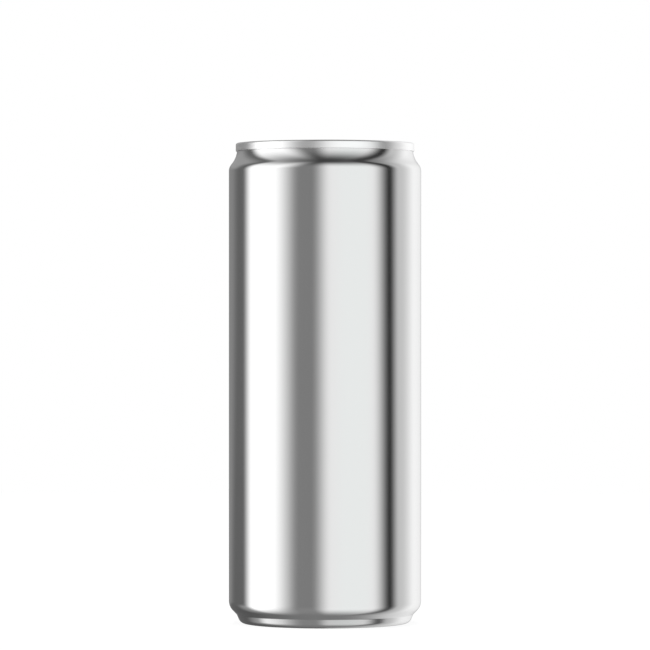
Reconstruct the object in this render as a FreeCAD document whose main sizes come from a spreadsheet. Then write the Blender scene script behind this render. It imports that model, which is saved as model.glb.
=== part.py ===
"""A slim 250 ml drinks can, shut and full, drawn as a parametric FreeCAD document.

The can stands upright on the XY plane with its axis on +Z and the origin at the middle of its
foot. The mouth of the lid faces -Y and the heel of the tab faces +Y. Lengths are millimetres.

The document holds one sheet of sizes and three pieces, each bound to that sheet:
    can_body   drawn and ironed wall, necked at the top, domed at the base, filled with drink
    can_end    lid: seam ring, chuck wall, countersink, panel, tear panel and rivet
    pull_tab   stay-on tab held by the rivet
"""

import FreeCAD
import Part
import Sketcher

import math
import os

# ------------------------------------------------------------------------------- sizes

SIZES = {
    # whole can
    "can_height": (133.0, "foot to the top of the seam"),
    "body_radius": (26.65, "outside of the straight wall"),
    # neck, measured down from the seam and in from the wall
    "seam_height": (2.25, "height of the double seam"),
    "throat_length": (1.52, "seam to the corner where the neck turns out"),
    "neck_height": (3.0, "height of the sloping neck"),
    "neck_step": (2.26, "wall to throat, along the radius"),
    "neck_tuck": (0.7, "how far the neck rises inside the seam"),
    "throat_fillet": (6.25, "hollow curve under the seam"),
    "shoulder_fillet": (2.8, "round from the neck to the wall"),
    # base, measured up from the foot and in from the wall
    "base_height": (4.7, "foot to the lower end of the wall"),
    "notch_height": (2.5, "foot to the notch above the stand ring"),
    "notch_step": (2.15, "wall to the notch"),
    "stand_step": (3.25, "wall to the outer corner of the stand ring"),
    "leg_step": (5.7, "wall to the inner corner of the stand ring"),
    "leg_height": (4.0, "height of the leg inside the stand ring"),
    "leg_lean": (0.55, "how far the leg leans in over its height"),
    "dome_height": (10.0, "foot to the crown of the hollow dome"),
    "base_fillet": (3.65, "round from the wall to the base"),
    "notch_fillet": (0.8, "hollow curve of the notch"),
    "stand_fillet": (1.7, "outer round of the stand ring"),
    "leg_fillet": (1.2, "inner round of the stand ring"),
    "dome_fillet": (1.5, "round from the leg to the dome"),
    # lid, measured down from the top of the seam and in from its outside
    "seam_overhang": (0.35, "throat to the outside of the seam"),
    "seam_clearance": (0.08, "gap round the neck inside the seam"),
    "seam_thickness": (1.25, "outside of the seam to the chuck wall"),
    "seam_outer_fillet": (0.5, "outer round of the seam"),
    "seam_inner_fillet": (0.6, "inner round of the seam"),
    "seam_lower_fillet": (0.15, "round of the lower edge of the seam"),
    "neck_wall": (0.75, "metal and lining beside the lid at the throat"),
    "lid_clearance": (0.05, "gap round the lid inside the neck"),
    "countersink_depth": (6.8, "seam top to the floor of the countersink"),
    "countersink_width": (1.0, "width of the countersink floor"),
    "countersink_fillet": (0.45, "rounds at the foot of the countersink"),
    "chuck_lean": (1.7, "how far the chuck wall leans in over its height"),
    "lid_floor": (0.3, "metal left under the countersink"),
    "panel_depth": (4.6, "seam top to the panel"),
    "panel_wall_lean": (0.2, "how far the panel wall leans in"),
    "panel_fillet": (0.4, "round at the edge of the panel"),
    # sunk field of the panel, tear panel and finger well
    "field_depth": (0.45, "how deep the field is sunk"),
    "field_margin": (1.3, "panel edge to the field, at the mouth"),
    "field_mouth_radius": (12.0, "round of the field at the mouth"),
    "field_clearance": (1.8, "heel of the tab to the edge of the field"),
    "tear_margin": (1.0, "field edge to the score line"),
    "tear_half_width": (9.6, "half the tear panel, side to side"),
    "tear_half_length": (7.4, "half the tear panel, front to back"),
    "score_width": (0.3, "width of the score line"),
    "score_depth": (0.15, "depth of the score line"),
    "bead_inset": (1.9, "score line to the bead of the tear panel"),
    "bead_width": (1.3, "width of that bead"),
    "bead_height": (0.3, "height of that bead"),
    "well_radius": (2.4, "round of the finger well"),
    "well_half_span": (3.0, "middle of the well to the middle of its round"),
    "well_reach": (1.3, "middle of the well to the end of the tab above it"),
    "well_depth": (0.8, "how deep the well is sunk in the field"),
    # rivet
    "rivet_seat_radius": (3.2, "raised seat under the tab"),
    "rivet_radius": (1.85, "shank that passes through the tab"),
    "rivet_head_radius": (2.9, "head that holds the tab down"),
    "rivet_head_height": (0.5, "height of the head"),
    "rivet_head_fillet": (0.3, "round of the head"),
    "rivet_clearance": (0.1, "gap round the shank"),
    # pull tab
    "tab_gap": (0.4, "field to the underside of the tab"),
    "tab_thickness": (1.3, "height of the rolled edge"),
    "tab_fillet": (0.6, "round of the rolled edge"),
    "tab_curl": (1.7, "width of the rolled edge"),
    "tab_nose_radius": (7.6, "round of the nose"),
    "tab_nose_place": (0.6, "middle of that round, before the rivet"),
    "tab_heel_radius": (7.0, "round of the heel"),
    "tab_heel_place": (9.2, "middle of that round, behind the rivet"),
    "web_lift": (0.2, "underside of the tab to its web"),
    "web_thickness": (0.5, "folded metal round the rivet"),
    "web_slot_radius": (3.9, "inner edge of the slot behind the rivet"),
    "web_slot_width": (0.8, "width of that slot"),
    "finger_radius": (3.8, "round of the finger hole"),
    "finger_half_span": (1.3, "middle of the hole to the middle of its round"),
    "finger_rim": (2.0, "finger hole to the end of the heel"),
    "finger_fillet": (0.5, "round of the edge of the finger hole"),
}

# Heights, worked out from the sheet.
SEAM_FOOT = "(Sizes.can_height - Sizes.seam_height)"
NECK_TOP = f"({SEAM_FOOT} + Sizes.neck_tuck)"
THROAT_Z = f"({SEAM_FOOT} - Sizes.throat_length)"
SHOULDER_Z = f"({THROAT_Z} - Sizes.neck_height)"
COUNTERSINK_Z = "(Sizes.can_height - Sizes.countersink_depth)"
LID_UNDERSIDE = f"({COUNTERSINK_Z} - Sizes.lid_floor)"
PANEL_Z = "(Sizes.can_height - Sizes.panel_depth)"
FIELD_Z = f"({PANEL_Z} - Sizes.field_depth)"
TAB_UNDERSIDE = f"({FIELD_Z} + Sizes.tab_gap)"
TAB_TOP = f"({TAB_UNDERSIDE} + Sizes.tab_thickness)"
WEB_UNDERSIDE = f"({TAB_UNDERSIDE} + Sizes.web_lift)"
WEB_TOP = f"({WEB_UNDERSIDE} + Sizes.web_thickness)"

# Radii, worked out from the sheet.
THROAT_R = "(Sizes.body_radius - Sizes.neck_step)"
SEAM_R = f"({THROAT_R} + Sizes.seam_overhang)"
SEAM_LIP_R = f"({THROAT_R} + Sizes.seam_clearance)"
LID_PLUG_R = f"({THROAT_R} - Sizes.neck_wall)"
RECESS_R = f"({LID_PLUG_R} + Sizes.lid_clearance)"
CHUCK_TOP_R = f"({SEAM_R} - Sizes.seam_thickness)"
CHUCK_FOOT_R = f"({CHUCK_TOP_R} - Sizes.chuck_lean)"
PANEL_WALL_R = f"({CHUCK_FOOT_R} - Sizes.countersink_width)"
PANEL_R = f"({PANEL_WALL_R} - Sizes.panel_wall_lean)"
NOTCH_R = "(Sizes.body_radius - Sizes.notch_step)"
STAND_R = "(Sizes.body_radius - Sizes.stand_step)"
LEG_FOOT_R = "(Sizes.body_radius - Sizes.leg_step)"
LEG_TOP_R = f"({LEG_FOOT_R} - Sizes.leg_lean)"

# Places along Y on the lid, worked out from the sheet.
FIELD_FRONT = f"({PANEL_R} - Sizes.field_margin)"
FIELD_MOUTH_Y = f"(Sizes.field_mouth_radius - {FIELD_FRONT})"
TEAR_Y = f"(Sizes.tear_half_length + Sizes.tear_margin - {FIELD_FRONT})"
FIELD_HEEL_R = "(Sizes.tab_heel_radius + Sizes.field_clearance)"
HEEL_END_Y = "(Sizes.tab_heel_place + Sizes.tab_heel_radius)"
WELL_Y = f"({HEEL_END_Y} - Sizes.well_reach)"
FINGER_Y = f"({HEEL_END_Y} - Sizes.finger_rim - Sizes.finger_radius)"

ORIGIN_POINT = (-1, 1)
X_AXIS_LINE = -1
Y_AXIS_LINE = -2
START, END, CENTRE = 1, 2, 3
MATCH = 1e-4
FULL_TURN_MATCH = 1e-2


def make_sheet(doc):
    """Write every driving size into a spreadsheet: name, plain number, what it is."""
    sheet = doc.addObject("Spreadsheet::Sheet", "Sizes")
    for row, (alias, (value, note)) in enumerate(SIZES.items(), start=1):
        sheet.set(f"A{row}", alias)
        sheet.set(f"B{row}", str(value))
        sheet.set(f"C{row}", note)
        sheet.setAlias(f"B{row}", alias)
    doc.recompute()
    return sheet


def number(obj, expression):
    """What an expression is worth now, in millimetres."""
    return float(obj.evalExpression(expression))


# ------------------------------------------------------------------- sketches and features


def make_body(doc, label):
    """An empty PartDesign body whose label names its file."""
    body = doc.addObject("PartDesign::Body", label)
    body.Label = label
    return body


def make_sketch(body, name, plane, lift=None):
    """A sketch on one of the body's own origin planes, raised along its normal by lift."""
    sketch = body.newObject("Sketcher::SketchObject", name)
    support = next(f for f in body.Origin.OriginFeatures if f.Role == plane)
    sketch.AttachmentSupport = (support, [""])
    sketch.MapMode = "FlatFace"
    if lift:
        sketch.setExpression("AttachmentOffset.Base.z", lift)
    return sketch


def bind(sketch, kind, where, expression):
    """Add a dimension to a sketch and tie it to the sheet."""
    index = sketch.addConstraint(Sketcher.Constraint(kind, *where, number(sketch, expression)))
    sketch.setExpression(f"Constraints[{index}]", expression)


def pin(sketch, point, across, up):
    """Fix a sketch point at (across, up) from the origin; 0 puts it on that axis."""
    for kind, axis, expression in (("DistanceX", Y_AXIS_LINE, across), ("DistanceY", X_AXIS_LINE, up)):
        if expression == 0:
            sketch.addConstraint(Sketcher.Constraint("PointOnObject", *point, axis))
        elif number(sketch, expression) > 0:
            bind(sketch, kind, (*ORIGIN_POINT, *point), expression)
        else:
            bind(sketch, kind, (*point, *ORIGIN_POINT), f"-({expression})")


def vector(sketch, across, up):
    """The sketch point that two expressions describe."""
    return FreeCAD.Vector(number(sketch, str(across)), number(sketch, str(up)), 0)


def draw_profile(sketch, corners, arc_from=None):
    """Join corners by lines into a closed outline; the edge from arc_from is a round about the axis."""
    count = len(corners)
    places = [vector(sketch, *corner) for corner in corners]
    for index, here in enumerate(places):
        there = places[(index + 1) % count]
        if index == arc_from:
            rise = there.y - here.y
            radius = (here.x**2 + rise**2) / (2 * rise)
            middle = FreeCAD.Vector(0, there.y - radius, 0)
            circle = Part.Circle(middle, FreeCAD.Vector(0, 0, 1), radius)
            first = math.atan2(here.y - middle.y, here.x)
            sketch.addGeometry(Part.ArcOfCircle(circle, first, math.pi / 2))
        else:
            sketch.addGeometry(Part.LineSegment(here, there))
    for index, corner in enumerate(corners):
        after = (index + 1) % count
        sketch.addConstraint(Sketcher.Constraint("Coincident", index, END, after, START))
        pin(sketch, (index, START), *corner)
    if arc_from is not None:
        sketch.addConstraint(Sketcher.Constraint("PointOnObject", arc_from, CENTRE, Y_AXIS_LINE))


def draw_circle(sketch, radius, across=0, up=0):
    """A circle about a bound point."""
    middle = vector(sketch, across, up)
    circle = Part.Circle(middle, FreeCAD.Vector(0, 0, 1), number(sketch, radius))
    index = sketch.addGeometry(circle)
    bind(sketch, "Radius", (index,), radius)
    pin(sketch, (index, CENTRE), across, up)


def draw_ellipse(sketch, half_width, half_length, up):
    """An ellipse on the Y axis, wider than long, with both of its axes bound."""
    middle = vector(sketch, 0, up)
    wide = number(sketch, half_width)
    long = number(sketch, half_length)
    side = middle + FreeCAD.Vector(wide, 0, 0)
    front = middle + FreeCAD.Vector(0, long, 0)
    index = sketch.addGeometry(Part.Ellipse(side, front, middle))
    sketch.exposeInternalGeometry(index)
    major, minor = index + 1, index + 2
    pin(sketch, (index, CENTRE), 0, up)
    sketch.addConstraint(Sketcher.Constraint("Horizontal", major))
    bind(sketch, "Distance", (major,), f"2 * ({half_width})")
    bind(sketch, "Distance", (minor,), f"2 * ({half_length})")


def draw_oval(sketch, first, second):
    """The outline round two discs, each given as (radius, across, up)."""
    discs = []
    for radius, across, up in (first, second):
        discs.append((number(sketch, radius), vector(sketch, across, up)))
    (radius_a, a), (radius_b, b) = discs
    along = b - a
    heading = math.atan2(along.y, along.x)
    spread = math.acos((radius_a - radius_b) / along.Length)
    up_z = FreeCAD.Vector(0, 0, 1)

    def rim(middle, radius, angle):
        return middle + FreeCAD.Vector(radius * math.cos(angle), radius * math.sin(angle), 0)

    left, right = heading + spread, heading - spread
    sketch.addGeometry(Part.ArcOfCircle(Part.Circle(a, up_z, radius_a), left, right + 2 * math.pi))
    sketch.addGeometry(Part.LineSegment(rim(a, radius_a, right), rim(b, radius_b, right)))
    sketch.addGeometry(Part.ArcOfCircle(Part.Circle(b, up_z, radius_b), right, left))
    sketch.addGeometry(Part.LineSegment(rim(b, radius_b, left), rim(a, radius_a, left)))
    for index in range(4):
        after = (index + 1) % 4
        sketch.addConstraint(Sketcher.Constraint("Tangent", index, END, after, START))
    for index, (radius, across, up) in ((0, first), (2, second)):
        bind(sketch, "Radius", (index,), radius)
        pin(sketch, (index, CENTRE), across, up)


def draw_half_ring(sketch, inner, outer):
    """Half a ring about the origin, on the +Y side, closed along the X axis."""
    up_z = FreeCAD.Vector(0, 0, 1)
    zero = FreeCAD.Vector(0, 0, 0)
    small = number(sketch, inner)
    large = number(sketch, outer)
    sketch.addGeometry(Part.ArcOfCircle(Part.Circle(zero, up_z, large), 0, math.pi))
    sketch.addGeometry(Part.LineSegment(FreeCAD.Vector(-large, 0, 0), FreeCAD.Vector(-small, 0, 0)))
    sketch.addGeometry(Part.ArcOfCircle(Part.Circle(zero, up_z, small), 0, math.pi))
    sketch.addGeometry(Part.LineSegment(FreeCAD.Vector(small, 0, 0), FreeCAD.Vector(large, 0, 0)))
    for index, radius in ((0, outer), (2, inner)):
        sketch.addConstraint(Sketcher.Constraint("Coincident", index, CENTRE, *ORIGIN_POINT))
        bind(sketch, "Radius", (index,), radius)
    left_end = ((0, END), (1, START)), ((1, END), (2, END))
    right_end = ((2, START), (3, START)), ((3, END), (0, START))
    for one, other in left_end + right_end:
        sketch.addConstraint(Sketcher.Constraint("Coincident", *one, *other))
    for line in (1, 3):
        sketch.addConstraint(Sketcher.Constraint("PointOnObject", line, START, X_AXIS_LINE))
        sketch.addConstraint(Sketcher.Constraint("PointOnObject", line, END, X_AXIS_LINE))


def revolve(body, name, corners, arc_from=None):
    """Turn a profile of (radius, height) corners once round the Z axis."""
    sketch = make_sketch(body, f"{name}_profile", "XZ_Plane")
    draw_profile(sketch, corners, arc_from)
    feature = body.newObject("PartDesign::Revolution", name)
    feature.Profile = sketch
    feature.ReferenceAxis = (sketch, ["V_Axis"])
    feature.Angle = 360
    finish_feature(body, feature, gains=True)


def pad(body, name, sketch, length):
    """Raise a sketch along +Z."""
    feature = body.newObject("PartDesign::Pad", name)
    feature.Profile = sketch
    feature.setExpression("Length", length)
    finish_feature(body, feature, gains=True)


def pocket(body, name, sketch, depth):
    """Sink a sketch along -Z."""
    feature = body.newObject("PartDesign::Pocket", name)
    feature.Profile = sketch
    feature.setExpression("Length", depth)
    finish_feature(body, feature, gains=False)


def sink_up(body, name, sketch, depth):
    """Sink a sketch along +Z, from an underside."""
    feature = body.newObject("PartDesign::Pocket", name)
    feature.Profile = sketch
    feature.Reversed = True
    feature.setExpression("Length", depth)
    finish_feature(body, feature, gains=False)


def fillet(body, name, edges, radius):
    """Round the edges that a test picks from the body's shape so far."""
    base = body.Tip
    picked = [f"Edge{i}" for i, edge in enumerate(base.Shape.Edges, start=1) if edges(edge)]
    if not picked:
        raise RuntimeError(f"{name} found no edge to round")
    feature = body.newObject("PartDesign::Fillet", name)
    feature.Base = (base, picked)
    feature.setExpression("Radius", radius)
    finish_feature(body, feature, gains=None)


def finish_feature(body, feature, gains):
    """Recompute, check that material was gained or lost as meant, and make the feature the tip."""
    base = feature.BaseFeature
    before = base.Shape.Volume if base else 0.0
    body.Tip = feature
    body.Document.recompute()
    change = feature.Shape.Volume - before
    if gains is not None and (change > 0) != gains:
        raise RuntimeError(f"{feature.Name} changed the volume by {change:.3f}, the wrong way")


def ring_edge(body, radius, height):
    """Test for the circle about the Z axis at that radius and height."""
    want_r = number(body, radius)
    want_z = number(body, height)

    def matches(edge):
        if edge.Degenerated or not isinstance(edge.Curve, Part.Circle):
            return False
        middle = edge.Curve.Center
        off_axis = math.hypot(middle.x, middle.y)
        off = max(off_axis, abs(edge.Curve.Radius - want_r), abs(middle.z - want_z))
        return off < MATCH and abs(edge.Length - 2 * math.pi * want_r) < FULL_TURN_MATCH

    return matches


def level_edge(body, heights, reach):
    """Test for level edges at those heights whose middles lie as reach(x, y) says."""
    wanted = [number(body, height) for height in heights]

    def matches(edge):
        box = edge.BoundBox
        if edge.Degenerated or box.ZLength > MATCH:
            return False
        middle = edge.valueAt((edge.FirstParameter + edge.LastParameter) / 2)
        return any(abs(box.ZMin - z) < MATCH for z in wanted) and reach(middle.x, middle.y)

    return matches


# ---------------------------------------------------------------------------- can body


def build_can_body(doc):
    """The drawn wall with its neck and domed base, filled up to the lid."""
    body = make_body(doc, "can_body")
    corners = [
        (0, LID_UNDERSIDE),
        (RECESS_R, LID_UNDERSIDE),
        (RECESS_R, NECK_TOP),
        (THROAT_R, NECK_TOP),
        (THROAT_R, THROAT_Z),
        ("Sizes.body_radius", SHOULDER_Z),
        ("Sizes.body_radius", "Sizes.base_height"),
        (NOTCH_R, "Sizes.notch_height"),
        (STAND_R, 0),
        (LEG_FOOT_R, 0),
        (LEG_TOP_R, "Sizes.leg_height"),
        (0, "Sizes.dome_height"),
    ]
    dome_foot = corners.index((LEG_TOP_R, "Sizes.leg_height"))
    revolve(body, "drawn_wall", corners, arc_from=dome_foot)
    rounds = (
        ("throat_round", THROAT_R, THROAT_Z, "Sizes.throat_fillet"),
        ("shoulder_round", "Sizes.body_radius", SHOULDER_Z, "Sizes.shoulder_fillet"),
        ("base_round", "Sizes.body_radius", "Sizes.base_height", "Sizes.base_fillet"),
        ("notch_round", NOTCH_R, "Sizes.notch_height", "Sizes.notch_fillet"),
        ("stand_round", STAND_R, "0", "Sizes.stand_fillet"),
        ("leg_round", LEG_FOOT_R, "0", "Sizes.leg_fillet"),
        ("dome_round", LEG_TOP_R, "Sizes.leg_height", "Sizes.dome_fillet"),
    )
    for name, radius, height, size in rounds:
        fillet(body, name, ring_edge(body, radius, height), size)
    return body


# ------------------------------------------------------------------------------- lid


def build_lid_form(body):
    """The turned form of the lid: seam ring, chuck wall, countersink and panel."""
    corners = [
        (0, LID_UNDERSIDE),
        (LID_PLUG_R, LID_UNDERSIDE),
        (LID_PLUG_R, NECK_TOP),
        (SEAM_LIP_R, NECK_TOP),
        (SEAM_LIP_R, SEAM_FOOT),
        (SEAM_R, SEAM_FOOT),
        (SEAM_R, "Sizes.can_height"),
        (CHUCK_TOP_R, "Sizes.can_height"),
        (CHUCK_FOOT_R, COUNTERSINK_Z),
        (PANEL_WALL_R, COUNTERSINK_Z),
        (PANEL_R, PANEL_Z),
        (0, PANEL_Z),
    ]
    revolve(body, "lid_form", corners)
    rounds = (
        ("seam_outer_round", SEAM_R, "Sizes.can_height", "Sizes.seam_outer_fillet"),
        ("seam_inner_round", CHUCK_TOP_R, "Sizes.can_height", "Sizes.seam_inner_fillet"),
        ("seam_lower_round", SEAM_R, SEAM_FOOT, "Sizes.seam_lower_fillet"),
        ("chuck_foot_round", CHUCK_FOOT_R, COUNTERSINK_Z, "Sizes.countersink_fillet"),
        ("panel_foot_round", PANEL_WALL_R, COUNTERSINK_Z, "Sizes.countersink_fillet"),
        ("panel_edge_round", PANEL_R, PANEL_Z, "Sizes.panel_fillet"),
    )
    for name, radius, height, size in rounds:
        fillet(body, name, ring_edge(body, radius, height), size)


def build_panel_relief(body):
    """The sunk field with its finger well, the tear panel's score line and its bead."""
    field = make_sketch(body, "field_outline", "XY_Plane", PANEL_Z)
    mouth = ("Sizes.field_mouth_radius", 0, FIELD_MOUTH_Y)
    heel = (FIELD_HEEL_R, 0, "Sizes.tab_heel_place")
    draw_oval(field, mouth, heel)
    pocket(body, "sunk_field", field, "Sizes.field_depth")

    well = make_sketch(body, "well_outline", "XY_Plane", FIELD_Z)
    left = ("Sizes.well_radius", "-Sizes.well_half_span", WELL_Y)
    right = ("Sizes.well_radius", "Sizes.well_half_span", WELL_Y)
    draw_oval(well, left, right)
    pocket(body, "finger_well", well, "Sizes.well_depth")

    score = make_sketch(body, "score_outline", "XY_Plane", FIELD_Z)
    draw_ellipse(score, "Sizes.tear_half_width", "Sizes.tear_half_length", TEAR_Y)
    inner_width = "Sizes.tear_half_width - Sizes.score_width"
    inner_length = "Sizes.tear_half_length - Sizes.score_width"
    draw_ellipse(score, inner_width, inner_length, TEAR_Y)
    pocket(body, "score_line", score, "Sizes.score_depth")

    bead = make_sketch(body, "bead_outline", "XY_Plane", FIELD_Z)
    outer_width = "Sizes.tear_half_width - Sizes.bead_inset"
    outer_length = "Sizes.tear_half_length - Sizes.bead_inset"
    draw_ellipse(bead, outer_width, outer_length, TEAR_Y)
    draw_ellipse(bead, f"{outer_width} - Sizes.bead_width", f"{outer_length} - Sizes.bead_width", TEAR_Y)
    pad(body, "tear_bead", bead, "Sizes.bead_height")


def build_rivet(body):
    """The rivet drawn up from the panel: a seat, a shank and a head that holds the tab."""
    steps = (
        ("rivet_seat", "Sizes.rivet_seat_radius", FIELD_Z, f"{WEB_UNDERSIDE} - {FIELD_Z}"),
        ("rivet_shank", "Sizes.rivet_radius", WEB_UNDERSIDE, "Sizes.web_thickness"),
        ("rivet_head", "Sizes.rivet_head_radius", WEB_TOP, "Sizes.rivet_head_height"),
    )
    for name, radius, foot, height in steps:
        sketch = make_sketch(body, f"{name}_outline", "XY_Plane", foot)
        draw_circle(sketch, radius)
        pad(body, name, sketch, height)
    head_top = f"{WEB_TOP} + Sizes.rivet_head_height"
    edge = ring_edge(body, "Sizes.rivet_head_radius", head_top)
    fillet(body, "rivet_head_round", edge, "Sizes.rivet_head_fillet")


def build_can_end(doc):
    """The lid, seamed on the neck, with a plain underside that rests on the filled body."""
    body = make_body(doc, "can_end")
    build_lid_form(body)
    build_panel_relief(body)
    build_rivet(body)
    return body


# -------------------------------------------------------------------------------- tab


def build_pull_tab(doc):
    """The stay-on tab: rolled edge, web round the rivet with its slot, and finger hole."""
    body = make_body(doc, "pull_tab")
    nose_up = "-Sizes.tab_nose_place"
    outline = make_sketch(body, "tab_outline", "XY_Plane", TAB_UNDERSIDE)
    nose = ("Sizes.tab_nose_radius", 0, nose_up)
    heel = ("Sizes.tab_heel_radius", 0, "Sizes.tab_heel_place")
    draw_oval(outline, nose, heel)
    pad(body, "tab_blank", outline, "Sizes.tab_thickness")
    both_faces = (TAB_UNDERSIDE, TAB_TOP)
    fillet(body, "curl_round", level_edge(body, both_faces, lambda x, y: True), "Sizes.tab_fillet")

    web_radius = "Sizes.tab_nose_radius - Sizes.tab_curl"
    above = make_sketch(body, "web_above", "XY_Plane", TAB_TOP)
    draw_circle(above, web_radius, 0, nose_up)
    pocket(body, "web_recess", above, f"{TAB_TOP} - {WEB_TOP}")
    below = make_sketch(body, "web_below", "XY_Plane", TAB_UNDERSIDE)
    draw_circle(below, web_radius, 0, nose_up)
    sink_up(body, "web_relief", below, "Sizes.web_lift")

    hole = make_sketch(body, "rivet_hole_outline", "XY_Plane", WEB_TOP)
    draw_circle(hole, "Sizes.rivet_radius + Sizes.rivet_clearance")
    pocket(body, "rivet_hole", hole, "Sizes.web_thickness")
    slot = make_sketch(body, "slot_outline", "XY_Plane", WEB_TOP)
    draw_half_ring(slot, "Sizes.web_slot_radius", "Sizes.web_slot_radius + Sizes.web_slot_width")
    pocket(body, "web_slot", slot, "Sizes.web_thickness")

    finger = make_sketch(body, "finger_outline", "XY_Plane", TAB_TOP)
    left = ("Sizes.finger_radius", "-Sizes.finger_half_span", FINGER_Y)
    right = ("Sizes.finger_radius", "Sizes.finger_half_span", FINGER_Y)
    draw_oval(finger, left, right)
    pocket(body, "finger_hole", finger, "Sizes.tab_thickness")
    place = number(body, FINGER_Y)
    reach = number(body, "Sizes.finger_radius") + number(body, "Sizes.finger_half_span")

    def round_the_hole(x, y):
        return math.hypot(x, y - place) < reach + MATCH

    fillet(body, "finger_round", level_edge(body, both_faces, round_the_hole), "Sizes.finger_fillet")
    return body


# ------------------------------------------------------------------------- whole can


def check(doc, pieces):
    """Stop if any object failed or any piece isn't one valid solid."""
    for obj in doc.Objects:
        bad = {"Invalid", "Error"} & set(obj.State)
        if bad:
            raise RuntimeError(f"{obj.Name} is {sorted(bad)}")
    for piece in pieces:
        shape = piece.Shape
        if shape.isNull() or not shape.isValid() or len(shape.Solids) != 1:
            raise RuntimeError(f"{piece.Label} is not one valid solid")


def main():
    """Build the document, check it and write one STEP file for each piece."""
    doc = FreeCAD.newDocument("slim_can")
    make_sheet(doc)
    pieces = [build_can_body(doc), build_can_end(doc), build_pull_tab(doc)]
    doc.recompute()
    check(doc, pieces)
    os.makedirs("parts", exist_ok=True)
    for piece in pieces:
        piece.Shape.exportStep(f"parts/{piece.Label}.step")
        box = piece.Shape.optimalBoundingBox(False)
        size = f"{box.XLength:.2f} x {box.YLength:.2f} x {box.ZLength:.2f} mm"
        print(f"{piece.Label}: {size}, {piece.Shape.Volume / 1000:.2f} cm3")


main()
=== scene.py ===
"""Looks, studio and camera of a slim aluminium drinks can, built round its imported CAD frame.

The can stands on z = 0 with its axis on +Z. The mouth of the lid faces -Y, towards the camera, and
the heel of the tab faces +Y. Lengths are metres; the sizes that are easier to read in millimetres
are multiplied by MM.
"""

import itertools
import logging
import math
from collections.abc import Callable
from dataclasses import dataclass
from enum import Enum

import bmesh
import bpy
import numpy as np
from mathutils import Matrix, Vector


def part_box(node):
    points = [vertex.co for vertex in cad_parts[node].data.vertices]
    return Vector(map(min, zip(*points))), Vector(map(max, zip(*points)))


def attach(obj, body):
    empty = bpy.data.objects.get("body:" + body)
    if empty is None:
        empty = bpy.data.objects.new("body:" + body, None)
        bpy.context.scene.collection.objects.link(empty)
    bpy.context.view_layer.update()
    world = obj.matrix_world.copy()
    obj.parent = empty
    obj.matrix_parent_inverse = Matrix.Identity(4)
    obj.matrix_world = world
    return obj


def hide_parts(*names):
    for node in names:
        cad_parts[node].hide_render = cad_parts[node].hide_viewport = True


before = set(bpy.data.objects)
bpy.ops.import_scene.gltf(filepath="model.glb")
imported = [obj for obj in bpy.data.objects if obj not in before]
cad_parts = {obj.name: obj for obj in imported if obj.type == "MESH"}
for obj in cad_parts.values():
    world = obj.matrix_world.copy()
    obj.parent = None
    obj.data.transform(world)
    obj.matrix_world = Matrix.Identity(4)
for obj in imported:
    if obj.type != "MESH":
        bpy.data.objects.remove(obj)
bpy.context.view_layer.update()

LOG = logging.getLogger("drinks_can")
MM = 0.001
ROOT_BODY = "root"
FULL_TURN = 2 * math.pi
MICRON = 0.001 * MM
HAIR = 1e-9
NEUTRAL = (1.0, 1.0, 1.0)
COOL = (0.25, 1.5, 1.15)

Point = tuple[float, float]
Colour = tuple[float, float, float]
Field = Callable[[np.ndarray, np.ndarray, np.ndarray], np.ndarray]


# -------------------- sections


@dataclass(frozen=True)
class Corner:
    """A corner of a section: radius, height and the radius of its round, in metres."""

    r: float
    z: float
    fillet: float = 0.0


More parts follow.
